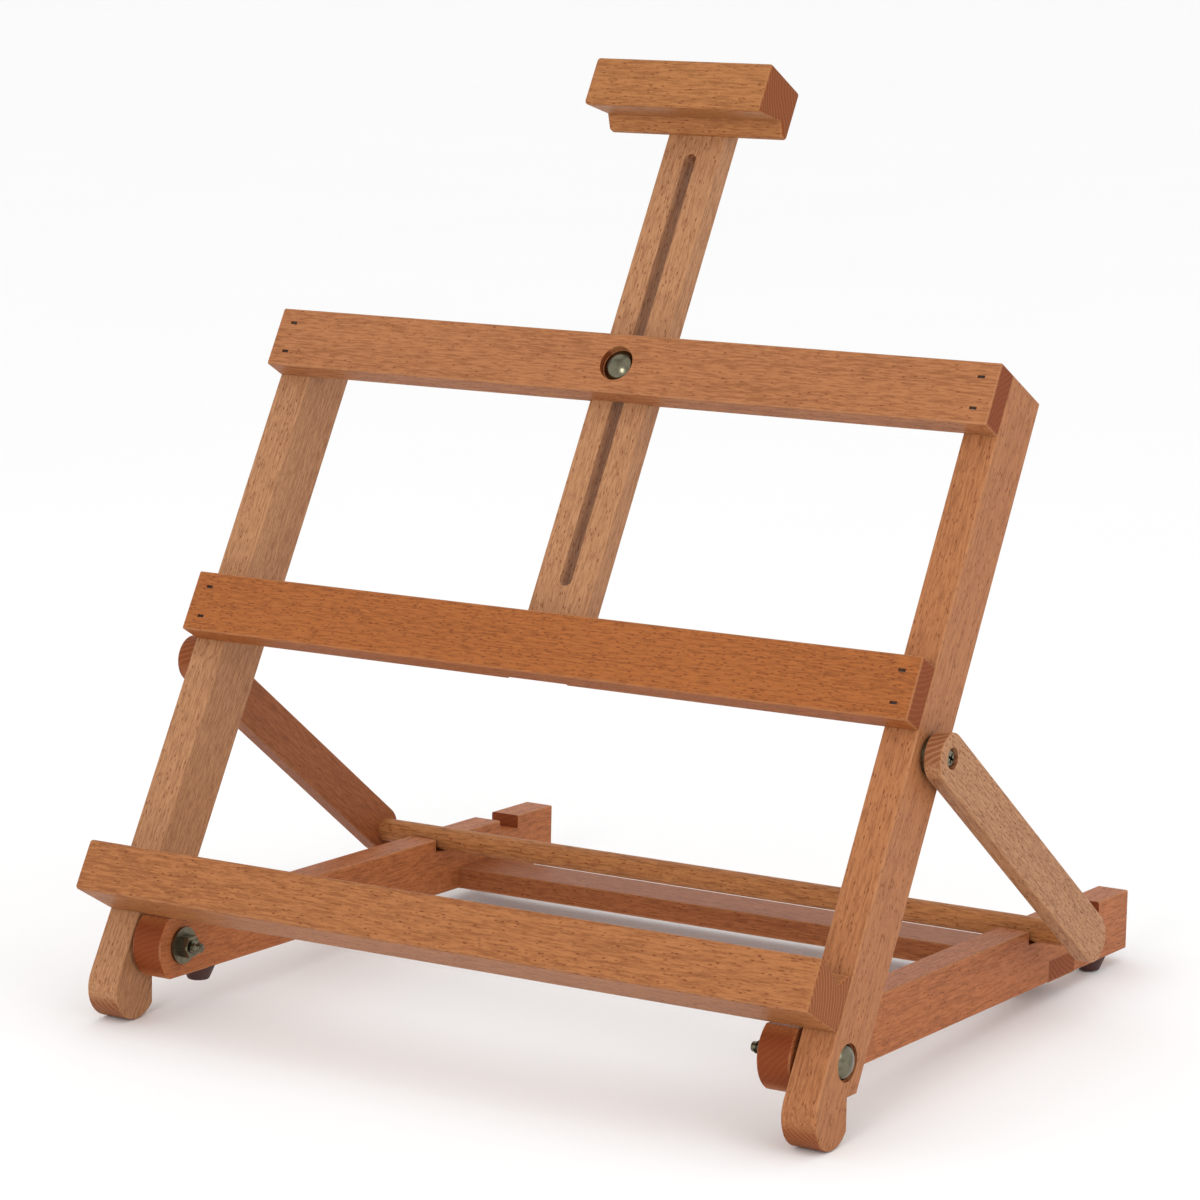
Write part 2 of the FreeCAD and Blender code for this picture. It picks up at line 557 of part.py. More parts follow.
def base_crossbar():
    """A flat bar let into the undersides of both base rails, flush with their outer faces."""
    body = block(-BASE_OUTER, BASE_OUTER, CROSSBAR_FRONT, CROSSBAR_FRONT + CROSSBAR_WIDTH,
                 BASE_UNDERSIDE, BASE_UNDERSIDE + CROSSBAR_THICKNESS)
    return body.cut(crossbar_screws(FIT_GAP))


def foot(side, end):
    """A tapered rubber foot under a base rail, hollow in the middle for its screw."""
    centre = Vector(SIDES[side] * BASE_MIDDLE, FOOT_SETBACKS[end], BASE_UNDERSIDE)
    underside = centre - Vector(0, 0, FOOT_HEIGHT)
    puck = Part.makeCone(FOOT_FACE_DIAMETER / 2, FOOT_DIAMETER / 2, FOOT_HEIGHT, underside)
    puck = puck.makeFillet(FOOT_EDGE, [edge for edge in puck.Edges
                                       if edge.Closed and edge.CenterOfMass.z < centre.z - FOOT_HEIGHT / 2])
    well = rod(FOOT_SCREW_HEAD / 2 + FIT_GAP, underside - Vector(0, 0, 1),
               underside + Vector(0, 0, FOOT_SCREW_SINK))
    return puck.cut([well, foot_screw(side, end, FIT_GAP)])


def strut(side):
    """A flat bar with two round ends, outside the stile (prop coordinates)."""
    x0, x1 = sorted((side * STRUT_INNER, side * STRUT_OUTER))
    radius = STRUT_WIDTH / 2
    shapes = [block(x0, x1, 0, STRUT_REACH, -radius, radius)]
    shapes += [rod(radius, Vector(x0, y, 0), Vector(x1, y, 0)) for y in (0, STRUT_REACH)]
    body = eased(joined(shapes), lambda point: min(abs(point.x - x0), abs(point.x - x1)) < 0.01)
    outer = side * (STRUT_OUTER + 1)
    floor = side * (STRUT_OUTER - STRUT_SCREW_RECESS_DEPTH)
    recess = rod(STRUT_SCREW_RECESS / 2, Vector(floor, 0, 0), Vector(outer, 0, 0))
    bore = rod(STRUT_SCREW_DIAMETER / 2 + RUNNING_GAP, Vector(x0 - 1, 0, 0), Vector(x1 + 1, 0, 0))
    inner = side * (STRUT_INNER - 1)
    bottom = side * (STRUT_INNER + DOWEL_SOCKET)
    socket = rod(DOWEL_RADIUS, Vector(inner, STRUT_REACH, 0), Vector(bottom, STRUT_REACH, 0))
    return body.cut([recess, bore, socket])


def prop_dowel():
    """The round bar glued between the struts, which drops into the notches."""
    half = STRUT_INNER + DOWEL_SOCKET
    return rod(DOWEL_RADIUS, Vector(-half, STRUT_REACH, 0), Vector(half, STRUT_REACH, 0))


# ---- the assembly: every node, by the local frame that it is drawn in -----------------------
def base_nodes():
    """Everything fixed to the base."""
    nodes = {"base_crossbar": base_crossbar(), "crossbar_screws": grouped(crossbar_screws())}
    foot_screws = []
    for name, side in SIDES.items():
        nodes["base_rail_" + name] = base_rail(side)
        for end in FOOT_SETBACKS:
            nodes["foot_" + end + "_" + name] = foot(name, end)
            foot_screws.append(foot_screw(name, end))
    nodes["foot_screws"] = grouped(foot_screws)
    return nodes


def frame_nodes():
    """Everything fixed to the leaning frame, and the mast and wing nut that move on it."""
    nodes = {"top_rail": top_rail(), "middle_rail": rail(MIDDLE_RAIL_RISE), "ledge": ledge()}
    nodes["top_rail_brads"] = grouped(brads(TOP_RAIL_RISE))
    nodes["middle_rail_brads"] = grouped(brads(MIDDLE_RAIL_RISE))
    nodes["ledge_screws"] = grouped(ledge_screws())
    nodes["mast"] = mast()
    nodes["mast_clamp"] = mast_clamp()
    nodes["clamp_screws"] = grouped(clamp_screws())
    nodes["mast_bolt"] = mast_bolt()
    back = Vector(0, 1, 0)
    washer_seat = Vector(0, MAST_BACK + GUIDE_GAP, MAST_BOLT_RISE)
    flat = washer(WASHER_DIAMETER, WASHER_THICKNESS, BOLT_RADIUS + FIT_GAP)
    nodes["mast_washer"] = aimed(flat, washer_seat, back)
    nut_seat = FreeCAD.Placement(washer_seat + back * (WASHER_THICKNESS + SIDE_GAP),
                                 FreeCAD.Rotation(X_AXIS, -90))
    nodes["wing_nut"] = moved(wing_nut(), nut_seat)
    for name, side in SIDES.items():
        nodes["stile_" + name] = stile(side)
        nodes.update(pivot_hardware(name, side))
    return nodes


def pivot_hardware(name, side):
    """The bolts, screws, nuts and rings of one side's two pivots."""
    inward = Vector(-side, 0, 0)
    nodes = {"pivot_bolt_" + name: pivot_bolt(side), "strut_screw_" + name: strut_screw(side)}
    spacer = washer(SPACER_DIAMETER, BASE_SPACER_THICKNESS, BOLT_RADIUS + FIT_GAP)
    nodes["pivot_spacer_" + name] = aimed(spacer, Vector(side * (STILE_INNER - SIDE_GAP), 0, 0), inward)
    washer_seat = Vector(side * (BASE_INNER - SIDE_GAP), 0, 0)
    flat = washer(WASHER_DIAMETER, WASHER_THICKNESS, BOLT_RADIUS + FIT_GAP)
    nodes["pivot_washer_" + name] = aimed(flat, washer_seat, inward)
    nodes["pivot_nut_" + name] = aimed(hex_nut(), washer_seat + inward * WASHER_THICKNESS, inward)
    ring = washer(SPACER_DIAMETER, STRUT_SPACER_THICKNESS, STRUT_SCREW_DIAMETER / 2 + FIT_GAP)
    ring_seat = Vector(side * (STRUT_INNER - SIDE_GAP), 0, STRUT_PIVOT_RISE)
    nodes["strut_spacer_" + name] = aimed(ring, ring_seat, inward)
    return nodes


def prop_nodes():
    """The two struts and their dowel."""
    nodes = {"strut_" + name: strut(side) for name, side in SIDES.items()}
    nodes["prop_dowel"] = prop_dowel()
    return nodes


def world_nodes():
    """Every node, standing on the ground, and the shift that puts the origin below the middle."""
    placed = {}
    for nodes, placement in ((base_nodes(), BASE_ON_GROUND), (frame_nodes(), FRAME_ON_GROUND),
                             (prop_nodes(), PROP_ON_GROUND)):
        for name, shape in nodes.items():
            placed[name] = moved(shape, placement)
    extent = Part.makeCompound(list(placed.values())).optimalBoundingBox(False, False)
    shift = Vector(0, -(extent.YMin + extent.YMax) / 2, 0)
    for shape in placed.values():
        shape.translate(shift)
    return placed, shift


def main():
    """Write one file per node, and print the sizes that the joints need."""
    os.makedirs("parts", exist_ok=True)
    nodes, shift = world_nodes()
    for name, shape in nodes.items():
        if not shape.isValid() or not shape.Solids:
            raise ValueError(name + " is not a valid solid")
        shape.exportStep("parts/" + name + ".step")
    print("lean", round(LEAN, 3), "strut drop", round(STRUT_DROP, 3), "prop swing", round(PROP_SWING, 3))
    print("mast up", round(MAST_RAISE, 2), "mast down", round(MAST_LOWER, 2), "shift", shift)
    for label, placement in (("base", BASE_ON_GROUND), ("frame", FRAME_ON_GROUND), ("prop", PROP_ON_GROUND)):
        print(label, placement)


main()
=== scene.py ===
import json
import math

import bpy
from mathutils import Matrix, Vector


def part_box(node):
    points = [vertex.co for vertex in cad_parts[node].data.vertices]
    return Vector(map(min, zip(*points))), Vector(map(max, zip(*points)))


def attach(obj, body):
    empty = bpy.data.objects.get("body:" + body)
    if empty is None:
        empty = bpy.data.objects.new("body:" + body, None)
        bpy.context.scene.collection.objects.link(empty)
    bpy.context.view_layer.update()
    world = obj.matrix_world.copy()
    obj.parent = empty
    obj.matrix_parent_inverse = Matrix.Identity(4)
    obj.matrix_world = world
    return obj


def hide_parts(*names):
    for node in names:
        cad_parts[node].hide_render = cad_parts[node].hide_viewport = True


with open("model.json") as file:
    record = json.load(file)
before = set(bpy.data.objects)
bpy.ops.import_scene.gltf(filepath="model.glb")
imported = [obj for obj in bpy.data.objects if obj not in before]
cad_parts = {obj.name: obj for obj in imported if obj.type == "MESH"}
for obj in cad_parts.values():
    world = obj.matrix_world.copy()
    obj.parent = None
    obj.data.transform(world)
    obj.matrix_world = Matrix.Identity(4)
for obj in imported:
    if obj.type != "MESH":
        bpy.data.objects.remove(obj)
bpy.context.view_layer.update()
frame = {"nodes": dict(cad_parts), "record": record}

bl_info = {
    "name": "Table Easel",
    "version": (1, 0, 0),
    "blender": (4, 5, 0),
    "location": "3D View > Sidebar > Easel",
    "description": "Finishes a beech table easel: oiled wood, zinc hardware, rubber feet and a plain studio",
    "category": "Object",
}

MM = 0.001

# How the beech's rings lie, in millimetres: the tree's heart is outside the board.
HEART_SIDE = 34.0
HEART_SIDE_SPREAD = 11.0
HEART_BELOW = 46.0
HEART_BELOW_SPREAD = 14.0
RING_WANDER = 9.0
RING_SHARPNESS = 2.6

# How much rougher, and how much higher or lower, each mark makes the beech.
FIBRE_ROUGHNESS = 0.12
FLECK_ROUGHNESS = 0.16
END_ROUGHNESS = 0.14
FIBRE_RELIEF = 0.55
FLECK_RELIEF = 0.8
RING_RELIEF = 0.25
GRAIN_BUMP = 0.55
GRAIN_DEPTH = 0.10 * MM
BEECH_SPECULAR = 0.10

# The plating of the steel.
TARNISH_TONE = 0.42
TARNISH_ROUGHNESS = 0.16
SCRATCH_ROUGHNESS = 0.08
SCRATCH_BUMP = 0.12
SCRATCH_DEPTH = 0.02 * MM

# The wing nut's cast hub.
HUB_TAPER = 1.2 * MM
HUB_ROUNDING = 0.6 * MM
THREAD_PLAY = 0.08 * MM

# Every wooden node: the tone it is cut from, how far oil stained it, how deep its end grain went.
WOODEN_NODES = {
    "top_rail": ("tan", 0.35, 0.92),
    "middle_rail": ("red", 0.45, 0.80),
    "ledge": ("orange", 0.40, 0.45),
    "stile_left": ("pale", 0.35, 0.60),
    "stile_right": ("tan", 0.30, 0.60),
    "mast": ("pale", 0.35, 0.50),
    "mast_clamp": ("golden", 0.30, 0.75),
    "base_rail_left": ("russet", 0.40, 0.95),
    "base_rail_right": ("russet", 0.40, 0.95),
    "base_crossbar": ("brown", 0.60, 0.60),
    "strut_left": ("brown", 0.30, 0.50),
    "strut_right": ("pale", 0.40, 0.50),
    "prop_dowel": ("golden", 0.60, 0.50),
}
STEEL_NODES = ["mast_washer"]
for side in ("left", "right"):
    STEEL_NODES += [part + "_" + side for part in
                    ("pivot_spacer", "pivot_washer", "pivot_nut", "strut_screw", "strut_spacer")]
DARK_STEEL_NODES = ["top_rail_brads", "middle_rail_brads", "ledge_screws", "clamp_screws",
                    "crossbar_screws", "foot_screws"]
FEET = ["foot_" + end + "_" + side for end in ("front", "rear") for side in ("left", "right")]


# ---- settings ------------------------------------------------------------------------------
def colour(name, description, default):
    """A linear colour setting."""
    return bpy.props.FloatVectorProperty(name=name, description=description, default=default,
                                         subtype="COLOR", min=0.0, max=1.0)


def length(name, description, default):
    """A length setting, in metres."""
    return bpy.props.FloatProperty(name=name, description=description, default=default,
                                   subtype="DISTANCE", unit="LENGTH", precision=5)


def angle(name, description, degrees):
    """An angle setting, given in degrees and kept in radians."""
    return bpy.props.FloatProperty(name=name, description=description,
                                   default=math.radians(degrees), subtype="ANGLE")


def amount(name, description, default, top=1.0):
    """A plain number from zero up."""
    return bpy.props.FloatProperty(name=name, description=description, default=default, min=0.0, max=top)


class EaselBeech(bpy.types.PropertyGroup):
    """Tones and figure of the oiled beech."""
    tan: colour("Tan beech", "Mid tan board", (0.352, 0.142, 0.057))
    orange: colour("Orange beech", "Warmer board", (0.342, 0.134, 0.048))
    red: colour("Red beech", "Heartwood board", (0.322, 0.104, 0.028))
    pale: colour("Pale beech", "Sapwood board", (0.382, 0.190, 0.092))
    golden: colour("Golden beech", "Golden board", (0.355, 0.146, 0.050))
    brown: colour("Brown beech", "Steamed brown board", (0.285, 0.096, 0.035))
    russet: colour("Russet beech", "Speckled russet board", (0.370, 0.124, 0.043))
    fleck: colour("Fleck", "Medullary flecks", (0.150, 0.038, 0.012))
    end_grain: colour("End grain", "Oil-darkened end grain", (0.205, 0.043, 0.011))
    ring_spacing: length("Ring spacing", "Between two growth rings", 2.4 * MM)
    fleck_length: length("Fleck length", "Cell length of the flecks along the grain", 4.0 * MM)
    fleck_width: length("Fleck width", "Cell width of the flecks across the grain", 1.25 * MM)
    edge_width: length("Worn edge", "Width of the paler handled edges", 1.1 * MM)
    gloss: amount("Roughness", "Roughness of the oiled face", 0.43)


class EaselHardware(bpy.types.PropertyGroup):
    """Sizes and colours of the metal and rubber."""
    # The plating colour is set darker than the zinc's own tone to paint the dark reflections on the bolts,
    # nuts and washers: partly plating colour, partly painted reflection.
    zinc: colour("Zinc plating", "Yellow-grey plating", (0.175, 0.160, 0.108))
    dark_steel: colour("Dark steel", "Brads and sunk screws", (0.075, 0.055, 0.045))
    rubber: colour("Rubber", "Dark red-brown rubber", (0.050, 0.013, 0.009))
    thread_pitch: length("Thread pitch", "Between two turns of the bolts' thread", 1.0 * MM)
    thread_length: length("Thread length", "Threaded end of each bolt", 15.0 * MM)
    thread_depth: length("Thread depth", "Crest to root", 0.55 * MM)
    bolt_radius: length("Bolt radius", "Outside of the thread", 3.0 * MM)
    head_height: length("Head height", "Dome of a carriage bolt", 3.6 * MM)
    neck_length: length("Neck length", "Square neck under the head", 4.0 * MM)
    hub_radius: length("Hub radius", "Foot of the wing nut's hub", 6.5 * MM)
    hub_height: length("Hub height", "Height of the wing nut's hub", 8.0 * MM)
    wing_tip_radius: length("Wing tip radius", "Round end of a wing", 4.2 * MM)
    wing_thickness: length("Wing thickness", "Thickness of a wing", 2.8 * MM)


class EaselStage(bpy.types.PropertyGroup):
    """Studio and camera."""
    azimuth: angle("Azimuth", "Camera's bearing, from the front towards the right", 31.94)
    elevation: angle("Elevation", "Camera's height above the horizon", 11.02)
    roll: angle("Roll", "Camera's roll", -0.19)
    distance: length("Distance", "Camera to the aim point", 2.027)
    aim_side: length("Aim across", "Aim point, left or right of the middle", -0.0185)
    aim_height: length("Aim height", "Aim point above the ground", 0.1956)
    lens: bpy.props.FloatProperty(name="Lens", description="Focal length on a 36 mm sensor",
                                  default=125.3, unit="CAMERA")
    floor: colour("Floor", "Plain pale floor", (0.97, 0.97, 0.97))
    sky: amount("Sky strength", "Even light from all round", 1.0, 5.0)
    key_power: amount("Key power", "Soft light in front, in watts", 9.0, 500.0)
    fill_power: amount("Fill power", "Soft light at the right, in watts", 6.0, 500.0)


# ---- node helpers --------------------------------------------------------------------------
class Nodes:
    """A material's node tree, with short calls for the nodes that the finishes use."""

    def __init__(self, name):
        self.material = bpy.data.materials.new(name)
        self.material.use_nodes = True
        self.tree = self.material.node_tree
        self.shader = self.tree.nodes["Principled BSDF"]

    def add(self, kind, **settings):
        """A new node with its settings."""
        node = self.tree.nodes.new(kind)
        for key, value in settings.items():
            setattr(node, key, value)
        return node

    def feed(self, socket, value):
        """Links a socket, or sets a plain value."""
        if isinstance(value, bpy.types.NodeSocket):
            self.tree.links.new(value, socket)
        else:
            socket.default_value = value

    def maths(self, operation, *values, clamp=False):
        """One math node."""
        node = self.add("ShaderNodeMath", operation=operation, use_clamp=clamp)
        for socket, value in zip(node.inputs, values):
            self.feed(socket, value)
        return node.outputs[0]

    def ramp(self, value, low, high, start=0.0, end=1.0):
        """A smooth step of a value between two limits."""
        node = self.add("ShaderNodeMapRange", interpolation_type="SMOOTHSTEP")
        for name, item in (("Value", value), ("From Min", low), ("From Max", high),
                           ("To Min", start), ("To Max", end)):
            self.feed(node.inputs[name], item)
        return node.outputs[0]

    def vector(self, x, y, z):
        """A vector from three values."""
        node = self.add("ShaderNodeCombineXYZ")
        for socket, value in zip(node.inputs, (x, y, z)):
            self.feed(socket, value)
        return node.outputs[0]

    def split(self, vector):
        """The three values of a vector."""
        node = self.add("ShaderNodeSeparateXYZ")
        self.feed(node.inputs[0], vector)
        return list(node.outputs)

    def stretch(self, vector, scale, offset=(0.0, 0.0, 0.0)):
        """A vector times a scale, plus an offset."""
        node = self.add("ShaderNodeVectorMath", operation="MULTIPLY_ADD")
        self.feed(node.inputs[0], vector)
        self.feed(node.inputs[1], scale)
        self.feed(node.inputs[2], offset)
        return node.outputs[0]

    def noise(self, vector, scale=1.0, detail=2.0, roughness=0.5):
        """Soft noise from 0 to 1."""
        node = self.add("ShaderNodeTexNoise", noise_dimensions="3D")
        self.feed(node.inputs["Vector"], vector)
        self.feed(node.inputs["Scale"], scale)
        self.feed(node.inputs["Detail"], detail)
        self.feed(node.inputs["Roughness"], roughness)
        return node.outputs[0]

    def blend(self, share, first, second, mode="MIX"):
        """Two colours mixed."""
        node = self.add("ShaderNodeMix", data_type="RGBA", blend_type=mode)
        self.feed(node.inputs[0], share)
        self.feed(node.inputs[6], first)
        self.feed(node.inputs[7], second)
        return node.outputs[2]

    def bump(self, height, strength, distance):
        """Bump into the shader's normal."""
        node = self.add("ShaderNodeBump")
        self.feed(node.inputs["Height"], height)
        self.feed(node.inputs["Strength"], strength)
        self.feed(node.inputs["Distance"], distance)
        self.feed(self.shader.inputs["Normal"], node.outputs[0])


def opaque(values, gain=1.0):
    """A colour setting as four numbers, made lighter or darker."""
    return tuple(min(1.0, value * gain) for value in values) + (1.0,)


# ---- beech ---------------------------------------------------------------------------------
class Board:
    """How a wooden node lies: its tilt about X, its middle, its half sizes and its grain."""

    def __init__(self, node):
        mesh = frame["nodes"][node].data
        flat = [face for face in mesh.polygons if abs(face.normal.x) < 0.05]
        widest = max(flat, key=lambda face: face.area)
        self.tilt = math.atan2(widest.normal.z, widest.normal.y)
        level = Matrix.Rotation(-self.tilt, 3, "X")
        corners = [level @ vertex.co for vertex in mesh.vertices]
        low = [min(corner[axis] for corner in corners) for axis in range(3)]
        high = [max(corner[axis] for corner in corners) for axis in range(3)]
        self.middle = Vector(low).lerp(Vector(high), 0.5)
        self.half = (Vector(high) - Vector(low)) / 2
        self.grain = max(range(3), key=lambda axis: self.half[axis])
        self.across = [axis for axis in range(3) if axis != self.grain]


def levelled(nodes, board, source, kind):
    """Object coordinates or normals turned level with a board."""
    mapping = nodes.add("ShaderNodeMapping", vector_type=kind)
    nodes.feed(mapping.inputs["Vector"], source)
    mapping.inputs["Rotation"].default_value = (-board.tilt, 0.0, 0.0)
    if kind == "POINT":
        mapping.inputs["Location"].default_value = -board.middle
    return nodes.split(mapping.outputs[0])


def edge_distance(nodes, board, local):
    """How far a surface point is from the board's nearest edge, in metres."""
    depth = [nodes.maths("SUBTRACT", board.half[axis], nodes.maths("ABSOLUTE", local[axis]))
             for axis in range(3)]
    pairs = [nodes.maths("MAXIMUM", depth[first], depth[second])
             for first, second in ((0, 1), (1, 2), (0, 2))]
    return nodes.maths("MINIMUM", nodes.maths("MINIMUM", pairs[0], pairs[1]), pairs[2])


def growth_rings(nodes, settings, figure, offset, seed):
    """Rings round a heart outside the board: 0 in early wood, 1 at each ring's line."""
    drift = nodes.noise(nodes.stretch(figure, (0.035, 0.035, 0.006)), detail=2.0)
    wander = nodes.maths("MULTIPLY", nodes.maths("SUBTRACT", drift, 0.5), RING_WANDER)
    s, t, _along = nodes.split(figure)
    heart_s = offset[0] + HEART_SIDE + HEART_SIDE_SPREAD * math.sin(seed * 2.1)
    heart_t = offset[1] - HEART_BELOW + HEART_BELOW_SPREAD * math.cos(seed * 1.3)
    radius = nodes.maths("SQRT", nodes.maths(
        "ADD", nodes.maths("POWER", nodes.maths("SUBTRACT", s, heart_s), 2.0),
        nodes.maths("POWER", nodes.maths("SUBTRACT", t, heart_t), 2.0)))
    count = nodes.maths("DIVIDE", nodes.maths("ADD", radius, wander), settings.ring_spacing / MM)
    return nodes.maths("POWER", nodes.maths("FRACT", count), RING_SHARPNESS)


def ray_flecks(nodes, settings, figure):
    """Short dashes along the grain, some strong and some faint."""
    cells = (MM / settings.fleck_width, MM / settings.fleck_width, MM / settings.fleck_length)
    voronoi = nodes.add("ShaderNodeTexVoronoi", feature="F1")
    nodes.feed(voronoi.inputs["Vector"], nodes.stretch(figure, cells))
    nodes.feed(voronoi.inputs["Scale"], 1.0)
    chance = nodes.split(voronoi.outputs["Color"])
    dash = nodes.ramp(voronoi.outputs["Distance"], 0.12, 0.36, 1.0, 0.0)
    strength = nodes.ramp(chance[0], 0.15, 1.0, 0.15, 1.0)
    return nodes.maths("MULTIPLY", dash, strength)


def beech_material(node, tone, stain, end_depth, seed, settings):
    """Oiled beech for one board: grain along its longest side, and darker end grain."""
    nodes = Nodes("beech_" + node)
    board = Board(node)
    source = nodes.add("ShaderNodeTexCoord")
    local = levelled(nodes, board, source.outputs["Object"], "POINT")
    facing = levelled(nodes, board, source.outputs["Normal"], "VECTOR")
    s, t = (local[axis] for axis in board.across)
    offset = (seed * 37.0, seed * 19.0, seed * 211.0)
    figure = nodes.stretch(nodes.vector(s, t, local[board.grain]), (1 / MM,) * 3, offset)

    fibres = nodes.noise(nodes.stretch(figure, (1.2, 1.2, 0.115)), detail=4.0, roughness=0.70)
    streaks = nodes.noise(nodes.stretch(figure, (0.28, 0.28, 0.006)), detail=3.0, roughness=0.55)
    clouds = nodes.noise(nodes.stretch(figure, (0.03, 0.03, 0.009)), detail=1.0)
    rings = growth_rings(nodes, settings, figure, offset, seed)
    flecks = ray_flecks(nodes, settings, figure)

    base = getattr(settings, tone)
    share = nodes.maths("MULTIPLY", nodes.maths("SUBTRACT", streaks, 0.12), 0.9)
    share = nodes.maths("ADD", share, nodes.maths("MULTIPLY", nodes.maths("SUBTRACT", clouds, 0.5), 0.5))
    share = nodes.maths("ADD", share, nodes.maths("MULTIPLY", rings, 0.22))
    share = nodes.maths("ADD", share, nodes.maths("MULTIPLY", nodes.maths("SUBTRACT", fibres, 0.5), 5.0),
                        clamp=True)
    dark_fibre = Vector(base).lerp(Vector(settings.fleck), 0.24 + 0.5 * stain)
    long_grain = nodes.blend(share, opaque(base, 1.16), opaque(dark_fibre))
    long_grain = nodes.blend(nodes.maths("MULTIPLY", flecks, 0.92), long_grain, opaque(settings.fleck))

    ends = nodes.ramp(nodes.maths("ABSOLUTE", facing[board.grain]), 0.55, 0.85)
    end_share = nodes.maths("MULTIPLY", fibres, 0.9, clamp=True)
    end_tone = nodes.blend(end_depth, opaque(base), opaque(settings.end_grain))
    end_face = nodes.blend(end_share, end_tone, opaque(settings.end_grain, 0.80))
    pale_lines = nodes.maths("MULTIPLY", nodes.ramp(rings, 0.10, 0.60), 0.95 * (1.05 - end_depth))
    end_face = nodes.blend(pale_lines, end_face, opaque(base, 1.10))
    face = nodes.blend(ends, long_grain, end_face)

    edge = edge_distance(nodes, board, local)
    ragged = nodes.noise(nodes.stretch(figure, (0.25, 0.25, 0.05)), detail=3.0)
    reach = nodes.maths("MULTIPLY", nodes.maths("ADD", ragged, 0.35), settings.edge_width)
    worn = nodes.ramp(nodes.maths("DIVIDE", edge, reach), 0.25, 1.25, 0.34, 0.0)
    face = nodes.blend(worn, face, opaque(settings.pale, 1.22))
    nodes.feed(nodes.shader.inputs["Base Color"], face)

    rough = nodes.maths("ADD", settings.gloss - 0.05,
                        nodes.maths("MULTIPLY", fibres, FIBRE_ROUGHNESS))
    rough = nodes.maths("ADD", rough, nodes.maths("MULTIPLY", flecks, FLECK_ROUGHNESS))
    rough = nodes.maths("ADD", rough, nodes.maths("MULTIPLY", ends, END_ROUGHNESS))
    nodes.feed(nodes.shader.inputs["Roughness"], rough)
    nodes.shader.inputs["Specular IOR Level"].default_value = BEECH_SPECULAR
    height = nodes.maths("SUBTRACT", nodes.maths("MULTIPLY", fibres, FIBRE_RELIEF),
                         nodes.maths("MULTIPLY", flecks, FLECK_RELIEF))
    height = nodes.maths("SUBTRACT", height, nodes.maths("MULTIPLY", rings, RING_RELIEF))
    nodes.bump(height, GRAIN_BUMP, GRAIN_DEPTH)
    return nodes.material


# ---- metal and rubber ----------------------------------------------------------------------
def steel_material(name, tint, roughness, wear):
    """Plated steel with cloudy plating and fine scratches."""
    nodes = Nodes(name)
    source = nodes.add("ShaderNodeTexCoord").outputs["Object"]
    clouds = nodes.noise(source, scale=260.0, detail=3.0)
    scratches = nodes.noise(nodes.stretch(source, (300.0, 2600.0, 2600.0)), detail=2.0)
    tarnish = nodes.ramp(clouds, 0.42, 0.72)
    nodes.feed(nodes.shader.inputs["Base Color"],
               nodes.blend(nodes.maths("MULTIPLY", tarnish, wear), opaque(tint),
                           opaque(tint, TARNISH_TONE)))
    nodes.shader.inputs["Metallic"].default_value = 1.0
    rough = nodes.maths("ADD", roughness, nodes.maths("MULTIPLY", tarnish, TARNISH_ROUGHNESS))
    rough = nodes.maths("ADD", rough, nodes.maths("MULTIPLY", scratches, SCRATCH_ROUGHNESS))
    nodes.feed(nodes.shader.inputs["Roughness"], rough)
    nodes.bump(scratches, SCRATCH_BUMP, SCRATCH_DEPTH)
    return nodes.material


def rubber_material(settings):
    """Moulded rubber with a fine grain and a little dust."""
    nodes = Nodes("foot_rubber")
    source = nodes.add("ShaderNodeTexCoord").outputs["Object"]
    grain = nodes.noise(source, scale=2400.0, detail=2.0)
    dust = nodes.ramp(nodes.noise(source, scale=180.0, detail=4.0), 0.5, 0.8)
    nodes.feed(nodes.shader.inputs["Base Color"],
               nodes.blend(nodes.maths("MULTIPLY", dust, 0.3), opaque(settings.rubber),
                           opaque(settings.rubber, 3.2)))
    nodes.feed(nodes.shader.inputs["Roughness"], nodes.maths("ADD", 0.55, nodes.maths("MULTIPLY", dust, 0.2)))
    nodes.bump(grain, 0.3, 0.05 * MM)
    return nodes.material


def paint(piece, material):
    """Puts one material in all of a piece's slots."""
    if not piece.material_slots:
        piece.data.materials.append(material)
    for slot in piece.material_slots:
        slot.material = material


# ---- modelling helpers ---------------------------------------------------------------------
def alone(piece):
    """Selects one piece and makes it active."""
    bpy.ops.object.select_all(action="DESELECT")
    piece.select_set(True)
    bpy.context.view_layer.objects.active = piece


def started(name):
    """Names the primitive that was just added."""
    piece = bpy.context.active_object
    piece.name = name
    return piece


def settle(piece, matrix=None):
    """Applies a placement, so that the object's place is in its mesh."""
    if matrix is not None:
        piece.matrix_world = matrix @ piece.matrix_world
    alone(piece)
    bpy.ops.object.transform_apply(location=True, rotation=True, scale=True)
    return piece


def welded(name, pieces):
    """Several pieces joined in one object."""
    bpy.ops.object.select_all(action="DESELECT")
    for piece in pieces:
        piece.select_set(True)
    bpy.context.view_layer.objects.active = pieces[0]
    bpy.ops.object.join()
    return started(name)


def apply_modifier(piece, kind, **settings):
    """Adds a modifier and applies it."""
    modifier = piece.modifiers.new(kind.lower(), kind)
    for key, value in settings.items():
        setattr(modifier, key, value)
    alone(piece)
    bpy.ops.object.modifier_apply(modifier=modifier.name)


def pick_faces(piece, chosen):
    """Enters edit mode with only the faces selected that `chosen` accepts."""
    alone(piece)
    bpy.ops.object.mode_set(mode="EDIT")
    bpy.ops.mesh.select_mode(type="FACE")
    bpy.ops.mesh.select_all(action="DESELECT")
    bpy.ops.object.mode_set(mode="OBJECT")
    for face in piece.data.polygons:
        face.select = bool(chosen(face))
    bpy.ops.object.mode_set(mode="EDIT")


def leave_edit():
    """Back to object mode."""
    bpy.ops.object.mode_set(mode="OBJECT")


